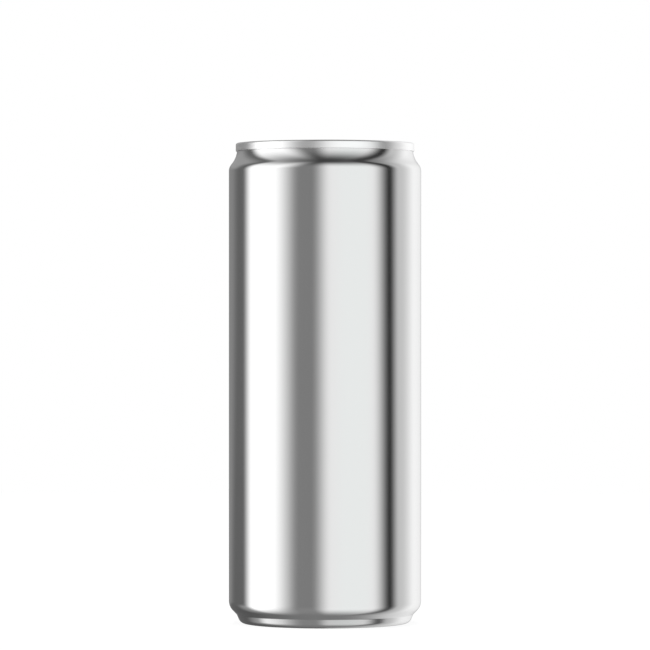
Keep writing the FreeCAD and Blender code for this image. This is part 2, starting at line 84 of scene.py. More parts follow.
@dataclass(frozen=True)
class SectionMaker:
    """Turns corners into a smooth line of points.

    Sizes:
        arc_step: largest turn between two points of a round, in degrees.
        guard: distance of the extra points beside a round, which keep flats flat.
        longest_run: longest straight run left undivided.
    """

    arc_step: float = 5.0
    guard: float = 0.06 * MM
    longest_run: float = 4.0 * MM

    def trace(self, corners: list[Corner], closed: bool = False) -> list[Point]:
        """Round the corners and divide the runs between them.

        Args:
            corners: the corners in order.
            closed: whether the last corner joins the first.

        Returns:
            The points of the section; a closed one doesn't repeat its first point.
        """
        count = len(corners)
        stations: list[list[Point]] = []
        for index, corner in enumerate(corners):
            is_end = not closed and index in (0, count - 1)
            if is_end or corner.fillet == 0.0:
                stations.append([(corner.r, corner.z)])
            else:
                before = corners[index - 1]
                after = corners[(index + 1) % count]
                stations.append(self._round(before, corner, after))
        points: list[Point] = []
        for index, station in enumerate(stations):
            points.extend(station)
            if closed or index < count - 1:
                points.extend(self._run(station[-1], stations[(index + 1) % count][0]))
        return points

    def _round(self, before: Corner, corner: Corner, after: Corner) -> list[Point]:
        """The points of the arc that rounds one corner, from tangent to tangent.

        Args:
            before: the corner before it.
            corner: the corner to round.
            after: the corner after it.

        Returns:
            The arc's points in order.
        """
        here = np.array([corner.r, corner.z])
        back = np.array([before.r, before.z]) - here
        ahead = np.array([after.r, after.z]) - here
        back /= np.linalg.norm(back)
        ahead /= np.linalg.norm(ahead)
        turn = math.pi - math.acos(float(np.clip(back @ ahead, -1.0, 1.0)))
        reach = corner.fillet * math.tan(turn / 2)
        bisector = (back + ahead) / np.linalg.norm(back + ahead)
        centre = here + bisector * corner.fillet / math.cos(turn / 2)
        first = here + back * reach - centre
        steps = max(3, math.ceil(math.degrees(turn) / self.arc_step))
        side = math.copysign(1.0, float(back[0] * ahead[1] - back[1] * ahead[0]))
        points = []
        for step in range(steps + 1):
            angle = -side * turn * step / steps
            c, s = math.cos(angle), math.sin(angle)
            out = c * first[0] - s * first[1]
            up = s * first[0] + c * first[1]
            points.append((centre[0] + out, centre[1] + up))
        return points

    def _run(self, start: Point, end: Point) -> list[Point]:
        """Extra points strictly between two stations: one guard at each end, the rest even.

        Args:
            start: last point of the station before.
            end: first point of the station after.

        Returns:
            The extra points; a short run has none.
        """
        a, b = np.array(start), np.array(end)
        length = float(np.linalg.norm(b - a))
        if length < 4 * self.guard:
            return []
        way = (b - a) / length
        inner = length - 2 * self.guard
        steps = max(1, math.ceil(inner / self.longest_run))
        return [tuple(a + way * (self.guard + inner * step / steps)) for step in range(steps + 1)]


# -------------------- meshes


class MeshMaker:
    """Makes smooth, closed mesh objects and hands them to the frame.

    Settings:
        DRAW_ROUNDS: how often points are drawn to a field's surface.
        PROBE_SHARE: reach of the probes that measure a field's slope, in cells.
        LEAST_SLOPE: square of the slope under which a step isn't made longer.
    """

    DRAW_ROUNDS = 4
    PROBE_SHARE = 0.05
    LEAST_SLOPE = 0.25

    @staticmethod
    def build(name: str, points: np.ndarray, faces: list[tuple[int, ...]]) -> bpy.types.Object:
        """Make one smooth object whose faces all look outwards.

        Args:
            name: the piece's name.
            points: one row of x, y, z for each vertex.
            faces: vertex numbers of each face.

        Returns:
            The object, linked to the scene.
        """
        mesh = bpy.data.meshes.new(name)
        mesh.from_pydata(points.tolist(), [], faces)
        work = bmesh.new()
        work.from_mesh(mesh)
        bmesh.ops.recalc_face_normals(work, faces=work.faces)
        work.to_mesh(mesh)
        work.free()
        mesh.polygons.foreach_set("use_smooth", [True] * len(mesh.polygons))
        piece = bpy.data.objects.new(name, mesh)
        bpy.context.scene.collection.objects.link(piece)
        return piece

    @staticmethod
    def turned(name: str, section: list[Point], segments: int, closed: bool = False) -> bpy.types.Object:
        """Turn a section once round the Z axis.

        Args:
            name: the piece's name.
            section: points of (radius, height); one on the axis becomes a pole.
            segments: how many steps the turn has.
            closed: whether the section's last point joins its first.

        Returns:
            The turned object.
        """
        angles = np.arange(segments) * FULL_TURN / segments
        rows: list[np.ndarray] = []
        rings: list[list[int]] = []
        count = 0
        for radius, height in section:
            if radius < HAIR:
                rows.append(np.array([[0.0, 0.0, height]]))
                rings.append([count])
                count += 1
                continue
            level = np.full(segments, height)
            rows.append(np.stack([radius * np.cos(angles), radius * np.sin(angles), level], 1))
            rings.append(list(range(count, count + segments)))
            count += segments
        pairs = list(zip(rings, rings[1:]))
        if closed:
            pairs.append((rings[-1], rings[0]))
        faces: list[tuple[int, ...]] = []
        for lower, upper in pairs:
            faces.extend(MeshMaker._band(lower, upper, segments))
        return MeshMaker.build(name, np.concatenate(rows), faces)

    @staticmethod
    def _band(lower: list[int], upper: list[int], segments: int) -> list[tuple[int, ...]]:
        """The faces between two neighbouring rings, either of which may be a pole.

        Args:
            lower: vertex numbers of the first ring.
            upper: vertex numbers of the second ring.
            segments: how many steps the turn has.

        Returns:
            Vertex numbers of each face.
        """
        faces: list[tuple[int, ...]] = []
        if len(lower) == 1 and len(upper) == 1:
            return faces
        for i in range(segments):
            j = (i + 1) % segments
            if len(lower) == 1:
                faces.append((lower[0], upper[i], upper[j]))
            elif len(upper) == 1:
                faces.append((lower[i], lower[j], upper[0]))
            else:
                faces.append((lower[i], lower[j], upper[j], upper[i]))
        return faces

    @staticmethod
    def level_set(
        name: str, distance: Field, low: np.ndarray, high: np.ndarray, cell: float
    ) -> bpy.types.Object:
        """Mesh the surface where a distance field is zero.

        Args:
            name: the piece's name.
            distance: the field, negative inside the metal.
            low: lowest corner of the box that holds the shape.
            high: highest corner of that box.
            cell: edge of the grid's cells.

        Returns:
            The closed object, with every vertex drawn onto the true surface.
        """
        counts = np.ceil((high - low) / cell).astype(int) + 1
        axes = [low[k] + cell * np.arange(counts[k]) for k in range(3)]
        inside = distance(*np.meshgrid(*axes, indexing="ij")) < 0
        corners = np.zeros(counts - 1, int)
        for offset in itertools.product((0, 1), repeat=3):
            part = tuple(slice(first, first + count - 1) for first, count in zip(offset, counts))
            corners += inside[part]
        active = (corners > 0) & (corners < 8)
        number = np.full(active.shape, -1)
        number[active] = np.arange(active.sum())
        points = low + cell * (np.argwhere(active) + 0.5)
        points = MeshMaker._drawn_to_surface(points, distance, cell)
        faces: list[tuple[int, ...]] = []
        for axis in range(3):
            faces.extend(MeshMaker._crossings(inside, number, axis))
        return MeshMaker.build(name, points, faces)

    @staticmethod
    def _drawn_to_surface(points: np.ndarray, distance: Field, cell: float) -> np.ndarray:
        """Move points along the field's slope until they lie where it is zero.

        Args:
            points: the points, one in a row.
            distance: the field.
            cell: edge of the grid's cells, the longest move along an axis in one round.

        Returns:
            The moved points.
        """
        probe = MeshMaker.PROBE_SHARE * cell
        for _ in range(MeshMaker.DRAW_ROUNDS):
            value = distance(*points.T)
            slope = np.zeros_like(points)
            for axis in range(3):
                shift = np.zeros(3)
                shift[axis] = probe
                gain = distance(*(points + shift).T) - distance(*(points - shift).T)
                slope[:, axis] = gain / (2 * probe)
            size = np.maximum((slope**2).sum(1), MeshMaker.LEAST_SLOPE)
            move = -slope * (value / size)[:, None]
            points = points + np.clip(move, -cell, cell)
        return points

    @staticmethod
    def _crossings(inside: np.ndarray, number: np.ndarray, axis: int) -> list[tuple[int, ...]]:
        """One face for each grid edge along an axis that passes through the surface.

        Args:
            inside: whether each grid point is inside the metal.
            number: vertex number of each cell.
            axis: the axis along which the edges run.

        Returns:
            Vertex numbers of each face.
        """
        along = np.moveaxis(inside, axis, 0)
        cells = np.moveaxis(number, axis, 0)
        changed = along[:-1] != along[1:]
        spots = np.argwhere(changed[:, 1:-1, 1:-1]) + np.array([0, 1, 1])
        i, j, k = spots.T
        ring = (cells[i, j - 1, k - 1], cells[i, j, k - 1], cells[i, j, k], cells[i, j - 1, k])
        return list(zip(*(part.tolist() for part in ring)))

    @staticmethod
    def hand_over(piece: bpy.types.Object, node: str, slot: str, material: bpy.types.Material) -> None:
        """Dress a piece, hang it under the root body and hide the CAD node that it stands for.

        Args:
            piece: the piece.
            node: the CAD node that it replaces.
            slot: the record's material slot; not used.
            material: its finish.
        """
        piece.data.materials.append(material)
        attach(piece, ROOT_BODY)
        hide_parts(node)
        LOG.info("%s: %d faces, stands for %s", piece.name, len(piece.data.polygons), node)


# -------------------- finishes


class Graph:
    """Short hand for adding and joining the nodes of one tree."""

    def __init__(self, tree: bpy.types.NodeTree) -> None:
        """Start with an empty tree."""
        self.tree = tree
        tree.nodes.clear()

    def add(self, kind: str, inputs: dict | None = None, **settings: object) -> bpy.types.Node:
        """Add a node.

        Args:
            kind: Blender's name of the node type.
            inputs: value or socket for each named or numbered input.
            **settings: the node's own properties.

        Returns:
            The new node.
        """
        node = self.tree.nodes.new(kind)
        for key, value in settings.items():
            setattr(node, key, value)
        for key, value in (inputs or {}).items():
            if isinstance(value, bpy.types.NodeSocket):
                self.tree.links.new(value, node.inputs[key])
            else:
                node.inputs[key].default_value = value
        return node

    def math(self, operation: str, *values: object) -> bpy.types.NodeSocket:
        """The result of one arithmetic step."""
        return self.add("ShaderNodeMath", dict(enumerate(values)), operation=operation).outputs[0]

    def smooth(self, value: bpy.types.NodeSocket, start: float, end: float) -> bpy.types.NodeSocket:
        """A smooth step from 0 at start to 1 at end, where start may be above end.

        Args:
            value: the value to step.
            start: where the step is 0.
            end: where the step is 1.

        Returns:
            The step's value.
        """
        low, high = min(start, end), max(start, end)
        to = (0.0, 1.0) if start < end else (1.0, 0.0)
        inputs = {"Value": value, "From Min": low, "From Max": high, "To Min": to[0], "To Max": to[1]}
        return self.add("ShaderNodeMapRange", inputs, interpolation_type="SMOOTHSTEP").outputs[0]

    def place(self) -> bpy.types.NodeSocket:
        """The shaded point in metres, in the object's own frame."""
        return self.add("ShaderNodeTexCoord").outputs["Object"]

    def scaled(self, vector: bpy.types.NodeSocket, factors: Colour) -> bpy.types.NodeSocket:
        """A vector with each of its parts multiplied by a factor of its own."""
        return self.add("ShaderNodeVectorMath", {0: vector, 1: factors}, operation="MULTIPLY").outputs[0]

    def noise(self, at: bpy.types.NodeSocket, stretch: Colour, detail: float) -> bpy.types.NodeSocket:
        """Fractal noise, 0 to 1.

        Args:
            at: the point.
            stretch: cycles per metre along each axis.
            detail: octaves of finer noise, each weaker than the one before.

        Returns:
            The noise value.
        """
        scaled = self.scaled(at, stretch)
        inputs = {"Vector": scaled, "Scale": 1.0, "Detail": detail, "Roughness": 0.6}
        return self.add("ShaderNodeTexNoise", inputs).outputs[0]


class Grain(Enum):
    """The way the marks of making run across the metal."""

    IRONED = "vertical lines left by the ironing rings"
    ROLLED = "straight lines left by the rolling mill"
    TURNED = "circles left by a turning tool or die"


@dataclass(frozen=True)
class BareAluminium:
    """Bare aluminium with the marks of how it was made.

    Sizes:
        colour: reflected colour at normal incidence.
        roughness: mean roughness.
        spread: how far the marks move the roughness up and down.
        grain: the way the marks run.
        pitch: cycles of the marks per metre across them.
        relief: depth of the marks as bump, in metres.
        clouding: how far broad handling haze moves the roughness.
        cloud_pitch, cloud_octaves: cycles of that haze per metre along each axis, and its detail.
        run: cycles of the marks along them for each cycle across.
        mark_octaves: detail of the marks.
        fading: how far the marks move the colour's level.
    """

    name: str
    colour: Colour
    roughness: float
    spread: float
    grain: Grain
    pitch: float
    relief: float
    clouding: float = 0.02
    cloud_pitch: Colour = (55.0, 55.0, 40.0)
    cloud_octaves: float = 4.0
    run: float = 0.004
    mark_octaves: float = 3.0
    fading: float = 0.015

    def _marks(self, graph: Graph) -> bpy.types.NodeSocket:
        """The marks as a value from 0 to 1.

        Args:
            graph: the material's nodes.

        Returns:
            The marks' value.
        """
        at = graph.place()
        along = self.pitch * self.run
        if self.grain is Grain.IRONED:
            return graph.noise(at, (self.pitch, self.pitch, along), self.mark_octaves)
        if self.grain is Grain.ROLLED:
            return graph.noise(at, (along, self.pitch, self.pitch), self.mark_octaves)
        flat = graph.scaled(at, (1.0, 1.0, 0.0))
        radius = graph.add("ShaderNodeVectorMath", {0: flat}, operation="LENGTH").outputs["Value"]
        parts = graph.add("ShaderNodeSeparateXYZ", {0: at})
        reach = graph.add("ShaderNodeCombineXYZ", {0: radius, 1: parts.outputs[2]})
        return graph.noise(reach.outputs[0], (self.pitch, self.pitch, 1.0), self.mark_octaves)

    def material(self) -> bpy.types.Material:
        """Build the node material of this finish.

        Returns:
            The material.
        """
        material = bpy.data.materials.new(self.name)
        material.use_nodes = True
        graph = Graph(material.node_tree)
        marks = self._marks(graph)
        haze = graph.noise(graph.place(), self.cloud_pitch, self.cloud_octaves)
        marked = graph.math("MULTIPLY_ADD", marks, 2 * self.spread, self.roughness - self.spread)
        cloudy = graph.math("MULTIPLY_ADD", haze, 2 * self.clouding, -self.clouding)
        rough = graph.add("ShaderNodeMath", {0: marked, 1: cloudy}, operation="ADD", use_clamp=True)
        tone = graph.math("MULTIPLY_ADD", marks, 2 * self.fading, 1 - self.fading)
        tint = graph.add("ShaderNodeVectorMath", {0: self.colour, "Scale": tone}, operation="SCALE")
        bump = graph.add("ShaderNodeBump", {"Height": marks, "Distance": self.relief, "Strength": 1.0})
        shader = graph.add(
            "ShaderNodeBsdfPrincipled",
            {
                "Base Color": tint.outputs[0],
                "Metallic": 1.0,
                "Roughness": rough.outputs[0],
                "Normal": bump.outputs[0],
            },
        )
        graph.add("ShaderNodeOutputMaterial", {"Surface": shader.outputs[0]})
        return material


WALL_FINISH = BareAluminium(
    "ironed_wall", (0.765, 0.765, 0.765), 0.115, 0.02, Grain.IRONED, 5200.0, 0.0006 * MM
)
SEAM_FINISH = BareAluminium(
    "rolled_seam", (0.95, 0.95, 0.95), 0.33, 0.03, Grain.TURNED, 3000.0, 0.0001 * MM
)
LID_FINISH = BareAluminium(
    "rolled_lid_sheet", (0.905, 0.908, 0.91), 0.27, 0.04, Grain.ROLLED, 6500.0, 0.0008 * MM
)
RIVET_FINISH = BareAluminium(
    "coined_rivet", (0.905, 0.908, 0.91), 0.22, 0.04, Grain.TURNED, 5000.0, 0.001 * MM
)
TAB_FINISH = BareAluminium(
    "pressed_tab_sheet", (0.9, 0.903, 0.905), 0.24, 0.04, Grain.ROLLED, 5200.0, 0.0015 * MM
)


# -------------------- pieces


@dataclass(frozen=True)
class SeamSizes:
    """How the neck and the lid are folded together at the double seam."""

    neck_tuck: float = 0.7 * MM
    overhang: float = 0.35 * MM
    lip_clearance: float = 0.08 * MM
    neck_wall: float = 0.75 * MM
    plug_clearance: float = 0.05 * MM


@dataclass(frozen=True)
class CanWall:
    """The drawn and ironed wall with its neck, base and dome, closed under the lid.

    Sizes are measured from the CAD node's own box: down from the seam, up from the foot and in
    from the wall.
    """

    seam: SeamSizes
    segments: int = 384
    dome_steps: int = 40
    throat_length: float = 1.52 * MM
    neck_height: float = 3.0 * MM
    neck_step: float = 2.26 * MM
    throat_fillet: float = 6.25 * MM
    shoulder_fillet: float = 2.8 * MM
    base_height: float = 4.7 * MM
    notch_height: float = 2.5 * MM
    notch_step: float = 2.15 * MM
    stand_step: float = 3.25 * MM
    leg_step: float = 5.7 * MM
    leg_height: float = 4.0 * MM
    leg_lean: float = 0.55 * MM
    dome_height: float = 10.0 * MM
    base_fillet: float = 3.65 * MM
    notch_fillet: float = 0.8 * MM
    stand_fillet: float = 2.0 * MM
    leg_fillet: float = 1.2 * MM
    dome_fillet: float = 1.5 * MM

    def dome(self, rim: Corner, lowest: float) -> list[Corner]:
        """The hollow dome as short chords of its sphere.

        Args:
            rim: the corner where the dome springs from the leg.
            lowest: height of the plane the can stands on.

        Returns:
            Corners from just inside the rim to the crown on the axis.
        """
        rise = lowest + self.dome_height - rim.z
        sphere = (rim.r**2 + rise**2) / (2 * rise)
        middle = lowest + self.dome_height - sphere
        span = math.asin(rim.r / sphere)
        angles = [span * (1 - step / self.dome_steps) for step in range(1, self.dome_steps + 1)]
        return [Corner(sphere * math.sin(a), middle + sphere * math.cos(a)) for a in angles]

    def section(self) -> list[Point]:
        """The wall's section, from the axis under the lid round to the crown of the dome.

        Returns:
            The section's points.
        """
        low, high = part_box("can_body")
        lid_low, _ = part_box("can_end")
        radius = high.x
        throat = radius - self.neck_step
        throat_z = high.z - self.seam.neck_tuck - self.throat_length
        recess = throat - self.seam.neck_wall + self.seam.plug_clearance
        leg_top_r = radius - self.leg_step - self.leg_lean
        leg_top = Corner(leg_top_r, low.z + self.leg_height, self.dome_fillet)
        corners = [
            Corner(0.0, lid_low.z),
            Corner(recess, lid_low.z),
            Corner(recess, high.z),
            Corner(throat, high.z),
            Corner(throat, throat_z, self.throat_fillet),
            Corner(radius, throat_z - self.neck_height, self.shoulder_fillet),
            Corner(radius, low.z + self.base_height, self.base_fillet),
            Corner(radius - self.notch_step, low.z + self.notch_height, self.notch_fillet),
            Corner(radius - self.stand_step, low.z, self.stand_fillet),
            Corner(radius - self.leg_step, low.z, self.leg_fillet),
            leg_top,
            *self.dome(leg_top, low.z),
        ]
        return SectionMaker().trace(corners)

    def build(self) -> None:
        """Turn the section and dress it."""
        piece = MeshMaker.turned("can_wall", self.section(), self.segments)
        MeshMaker.hand_over(piece, "can_body", "body_aluminium", WALL_FINISH.material())


@dataclass(frozen=True)
class LidSizes:
    """Places on the lid that its pieces share, measured from the CAD node's own box."""

    seam_thickness: float = 1.25 * MM
    countersink_depth: float = 6.8 * MM
    countersink_width: float = 1.0 * MM
    chuck_lean: float = 1.7 * MM
    panel_depth: float = 4.6 * MM
    panel_wall_lean: float = 0.2 * MM
    field_depth: float = 0.45 * MM
    countersink_fillet: float = 0.45 * MM
    seat_height: float = 0.6 * MM
    tab_heel_radius: float = 7.0 * MM
    tab_heel_place: float = 9.2 * MM

    @property
    def top(self) -> float:
        """Height of the seam's top."""
        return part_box("can_end")[1].z

    @property
    def underside(self) -> float:
        """Height of the lid's plain underside."""
        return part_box("can_end")[0].z

    @property
    def seam_radius(self) -> float:
        """Outside radius of the seam."""
        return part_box("can_end")[1].x

    @property
    def chuck_foot_radius(self) -> float:
        """Radius where the chuck wall meets the countersink."""
        return self.seam_radius - self.seam_thickness - self.chuck_lean

    @property
    def groove_radius(self) -> float:
        """Radius of the middle of the countersink's floor."""
        return self.chuck_foot_radius - self.countersink_width / 2

    @property
    def panel_radius(self) -> float:
        """Radius of the panel's edge before it is rounded."""
        return self.chuck_foot_radius - self.countersink_width - self.panel_wall_lean

    @property
    def countersink_z(self) -> float:
        """Height of the countersink's floor."""
        return self.top - self.countersink_depth

    @property
    def panel_z(self) -> float:
        """Height of the panel."""
        return self.top - self.panel_depth

    @property
    def field_z(self) -> float:
        """Height of the sunk field."""
        return self.panel_z - self.field_depth


@dataclass(frozen=True)
class LidRing:
    """The double seam, the chuck wall and the outer half of the countersink."""

    sizes: LidSizes
    seam: SeamSizes
    segments: int = 384
    outer_fillet: float = 0.5 * MM
    inner_fillet: float = 0.6 * MM
    lower_fillet: float = 0.15 * MM

    def section(self) -> list[Point]:
        """The ring's closed section.

        Returns:
            The section's points.
        """
        lid = self.sizes
        neck_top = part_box("can_body")[1].z
        seam_foot = neck_top - self.seam.neck_tuck
        throat = lid.seam_radius - self.seam.overhang
        plug = throat - self.seam.neck_wall
        lip = throat + self.seam.lip_clearance
        corners = [
            Corner(lid.groove_radius, lid.underside),
            Corner(plug, lid.underside),
            Corner(plug, neck_top),
            Corner(lip, neck_top),
            Corner(lip, seam_foot),
            Corner(lid.seam_radius, seam_foot, self.lower_fillet),
            Corner(lid.seam_radius, lid.top, self.outer_fillet),
            Corner(lid.seam_radius - lid.seam_thickness, lid.top, self.inner_fillet),
            Corner(lid.chuck_foot_radius, lid.countersink_z, lid.countersink_fillet),
            Corner(lid.groove_radius, lid.countersink_z),
        ]
        return SectionMaker(arc_step=8.0).trace(corners, closed=True)

    def build(self) -> None:
        """Turn the section and dress it."""
        piece = MeshMaker.turned("lid_seam_ring", self.section(), self.segments, closed=True)
        MeshMaker.hand_over(piece, "can_end", "lid_aluminium", SEAM_FINISH.material())


def ease(value: np.ndarray, start: float, end: float) -> np.ndarray:
    """A smooth step from 0 at start to 1 at end, where start may be above end."""
    share = np.clip((value - start) / (end - start), 0.0, 1.0)
    return share * share * (3 - 2 * share)


def two_discs(x: np.ndarray, y: np.ndarray, nose: Point, heel: Point) -> np.ndarray:
    """Distance outside the outline round two discs on the Y axis, negative inside it.

    Args:
        x: across.
        y: along the axis.
        nose: radius and place of the front disc.
        heel: radius and place of the rear disc.

    Returns:
        The distance of each point.
    """
    (front_r, front_y), (rear_r, rear_y) = nose, heel
    gap = rear_y - front_y
    lean = (front_r - rear_r) / gap
    upright = math.sqrt(1 - lean * lean)
    px, py = np.abs(x), y - front_y
    side = upright * py - lean * px
    flank = px * upright + py * lean - front_r
    front = np.hypot(px, py) - front_r
    rear = np.hypot(px, py - gap) - rear_r
    return np.where(side < 0, front, np.where(side > upright * gap, rear, flank))


def lying_oval(x: np.ndarray, y: np.ndarray, radius: float, half_span: float, place: float) -> np.ndarray:
    """Distance outside a flat-sided oval that lies along X, negative inside it."""
    return np.hypot(np.maximum(np.abs(x) - half_span, 0.0), y - place) - radius


@dataclass(frozen=True)
class LidPanel:
    """The panel: edge, sunk field, tear panel with score and bead, finger well and rivet seat."""

    sizes: LidSizes
    segments: int = 552
    ring_pitch: float = 0.135 * MM
    panel_fillet: float = 0.4 * MM
    flat_margin: float = 0.5 * MM
    field_margin: float = 1.3 * MM
    field_mouth_radius: float = 12.0 * MM
    field_clearance: float = 1.8 * MM
    field_wall: float = 0.7 * MM
    tear_margin: float = 1.0 * MM
    tear_half_width: float = 9.6 * MM
    tear_half_length: float = 7.4 * MM
    score_half_width: float = 0.3 * MM
    score_depth: float = 0.16 * MM
    inner_score_inset: float = 0.85 * MM
    hinge_azimuth: float = 0.62
    hinge_half_angle: float = 0.3
    hinge_fade: float = 0.12
    bead_inset: float = 2.55 * MM
    bead_half_width: float = 0.75 * MM
    bead_height: float = 0.3 * MM
    bead_steepness: float = 1.5
    well_radius: float = 2.4 * MM
    well_half_span: float = 3.0 * MM
    well_reach: float = 1.3 * MM
    well_depth: float = 0.8 * MM
    well_slope: float = 0.55
    seat_radius: float = 3.2 * MM
    seat_wall: float = 0.5 * MM
    probe: float = 0.04 * MM

    def relief(self, x: np.ndarray, y: np.ndarray) -> np.ndarray:
        """Height of the pressed panel above its flat edge at each point."""
        return self._field(x, y) + self._tear_panel(x, y) + self._well_and_seat(x, y)

    @property
    def _front(self) -> float:
        """How far the sunk field reaches towards the mouth's side."""
        return self.sizes.panel_radius - self.field_margin

    def _field(self, x: np.ndarray, y: np.ndarray) -> np.ndarray:
        """The sunk field, wide at the mouth and narrow at the tab's heel.

        Args:
            x: places across the can.
            y: places towards the tab's heel.

        Returns:
            The height it adds at each place.
        """
        lid = self.sizes
        mouth = (self.field_mouth_radius, self.field_mouth_radius - self._front)
        heel = (lid.tab_heel_radius + self.field_clearance, lid.tab_heel_place)
        edge = two_discs(x, y, mouth, heel)
        return -lid.field_depth * ease(edge, self.field_wall / 2, -self.field_wall / 2)

    def _tear_panel(self, x: np.ndarray, y: np.ndarray) -> np.ndarray:
        """The score line, open at the hinge, a shallower line inside it, and the raised bead.

        Args:
            x: places across the can.
            y: places towards the tab's heel.

        Returns:
            The height they add at each place.
        """
        long = self.tear_half_length
        wide = self.tear_half_width
        along = y - (long + self.tear_margin - self._front)
        share = np.hypot(x / wide, along / long)
        slope = np.hypot(x / wide**2, along / long**2) / np.maximum(share, HAIR)
        inset = (1 - share) / np.maximum(slope, HAIR)
        off_hinge = np.abs(np.arctan2(x, along) - self.hinge_azimuth)
        scored = ease(off_hinge, self.hinge_half_angle, self.hinge_half_angle + self.hinge_fade)
        height = np.zeros_like(inset)
        for place, depth in ((0.0, self.score_depth), (self.inner_score_inset, self.score_depth / 2)):
            groove = np.clip(1 - ((inset - place) / self.score_half_width) ** 2, 0.0, 1.0)
            height -= depth * groove**2 * scored
        crown = np.clip(1 - ((inset - self.bead_inset) / self.bead_half_width) ** 2, 0.0, 1.0)
        return height + self.bead_height * crown**self.bead_steepness

    def _well_and_seat(self, x: np.ndarray, y: np.ndarray) -> np.ndarray:
        """The finger well under the tab's heel and the raised seat under the rivet.

        Args:
            x: places across the can.
            y: places towards the tab's heel.

        Returns:
            The height they add at each place.
        """
        well_y = self.sizes.tab_heel_place + self.sizes.tab_heel_radius - self.well_reach
        well = lying_oval(x, y, self.well_radius, self.well_half_span, well_y)
        sunk = self.well_depth * ease(well, self.field_wall / 4, -self.well_radius * self.well_slope)
        radius = np.hypot(x, y)
        seat = ease(radius, self.seat_radius + self.seat_wall, self.seat_radius)
        return self.sizes.seat_height * seat - sunk

    def build(self) -> None:
        """Press the relief into a fine disc, close it underneath and dress it."""
        lid = self.sizes
        edge = [
            Corner(0.0, lid.underside),
            Corner(lid.groove_radius, lid.underside),
            Corner(lid.groove_radius, lid.countersink_z),
            Corner(lid.panel_radius + lid.panel_wall_lean, lid.countersink_z, lid.countersink_fillet),
            Corner(lid.panel_radius, lid.panel_z, self.panel_fillet),
            Corner(lid.panel_radius - self.flat_margin - self.panel_fillet, lid.panel_z),
        ]
        section = SectionMaker(arc_step=10.0, longest_run=6.0 * MM).trace(edge)
        start = section[-1][0]
        rings = math.floor(start / self.ring_pitch)
        section += [(start * (1 - step / rings), lid.panel_z) for step in range(1, rings + 1)]
        piece = MeshMaker.turned("lid_panel", section, self.segments)
        self._press(piece.data)
        MeshMaker.hand_over(piece, "can_end", "lid_aluminium", LID_FINISH.material())

    def _press(self, mesh: bpy.types.Mesh) -> None:
        """Raise and sink the panel's face by the relief, and shade it by the relief's own slope.

        Args:
            mesh: the turned panel, flat so far.
        """
        flat = np.empty(len(mesh.vertices) * 3)
        mesh.vertices.foreach_get("co", flat)
        points = flat.reshape(-1, 3)
        face = np.abs(points[:, 2] - self.sizes.panel_z) < MICRON
        x, y = points[face, 0], points[face, 1]
        points[face, 2] += self.relief(x, y)
        mesh.vertices.foreach_set("co", points.ravel())
        mesh.update()
        mesh.vertex_normals.foreach_get("vector", flat)
        normals = flat.reshape(-1, 3)
        span = 2 * self.probe
        slope_x = (self.relief(x + self.probe, y) - self.relief(x - self.probe, y)) / span
        slope_y = (self.relief(x, y + self.probe) - self.relief(x, y - self.probe)) / span
        upright = np.stack([-slope_x, -slope_y, np.ones_like(x)], 1)
        normals[face] = upright / np.linalg.norm(upright, axis=1, keepdims=True)
        mesh.normals_split_custom_set_from_vertices(normals.tolist())


@dataclass(frozen=True)
class Rivet:
    """The shank and head of the rivet that hold the tab down."""

    sizes: LidSizes
    segments: int = 128
    sunk: float = 0.1 * MM
    shank_radius: float = 1.85 * MM
    web_thickness: float = 0.5 * MM
    head_radius: float = 2.9 * MM
    head_height: float = 0.5 * MM
    head_fillet: float = 0.22 * MM
    head_taper: float = 0.06 * MM
    under_fillet: float = 0.05 * MM
    lower_fillet: float = 0.1 * MM
    dimple_radius: float = 1.35 * MM
    dimple_depth: float = 0.16 * MM
    dimple_slope: float = 0.35 * MM
    dimple_fillet: float = 0.3 * MM

    def build(self) -> None:
        """Turn the rivet's section and dress it."""
        foot = self.sizes.field_z + self.sizes.seat_height
        under = foot + self.web_thickness
        top = under + self.head_height
        corners = [
            Corner(0.0, foot - self.sunk),
            Corner(self.shank_radius, foot - self.sunk),
            Corner(self.shank_radius, under, self.under_fillet),
            Corner(self.head_radius, under, self.lower_fillet),
            Corner(self.head_radius - self.head_taper, top, self.head_fillet),
            Corner(self.dimple_radius + self.dimple_slope, top, self.dimple_fillet),
            Corner(self.dimple_radius, top - self.dimple_depth, self.dimple_fillet),
            Corner(0.0, top - self.dimple_depth),
        ]
        section = SectionMaker(arc_step=10.0).trace(corners)
        piece = MeshMaker.turned("rivet_head", section, self.segments)
        MeshMaker.hand_over(piece, "can_end", "lid_aluminium", RIVET_FINISH.material())


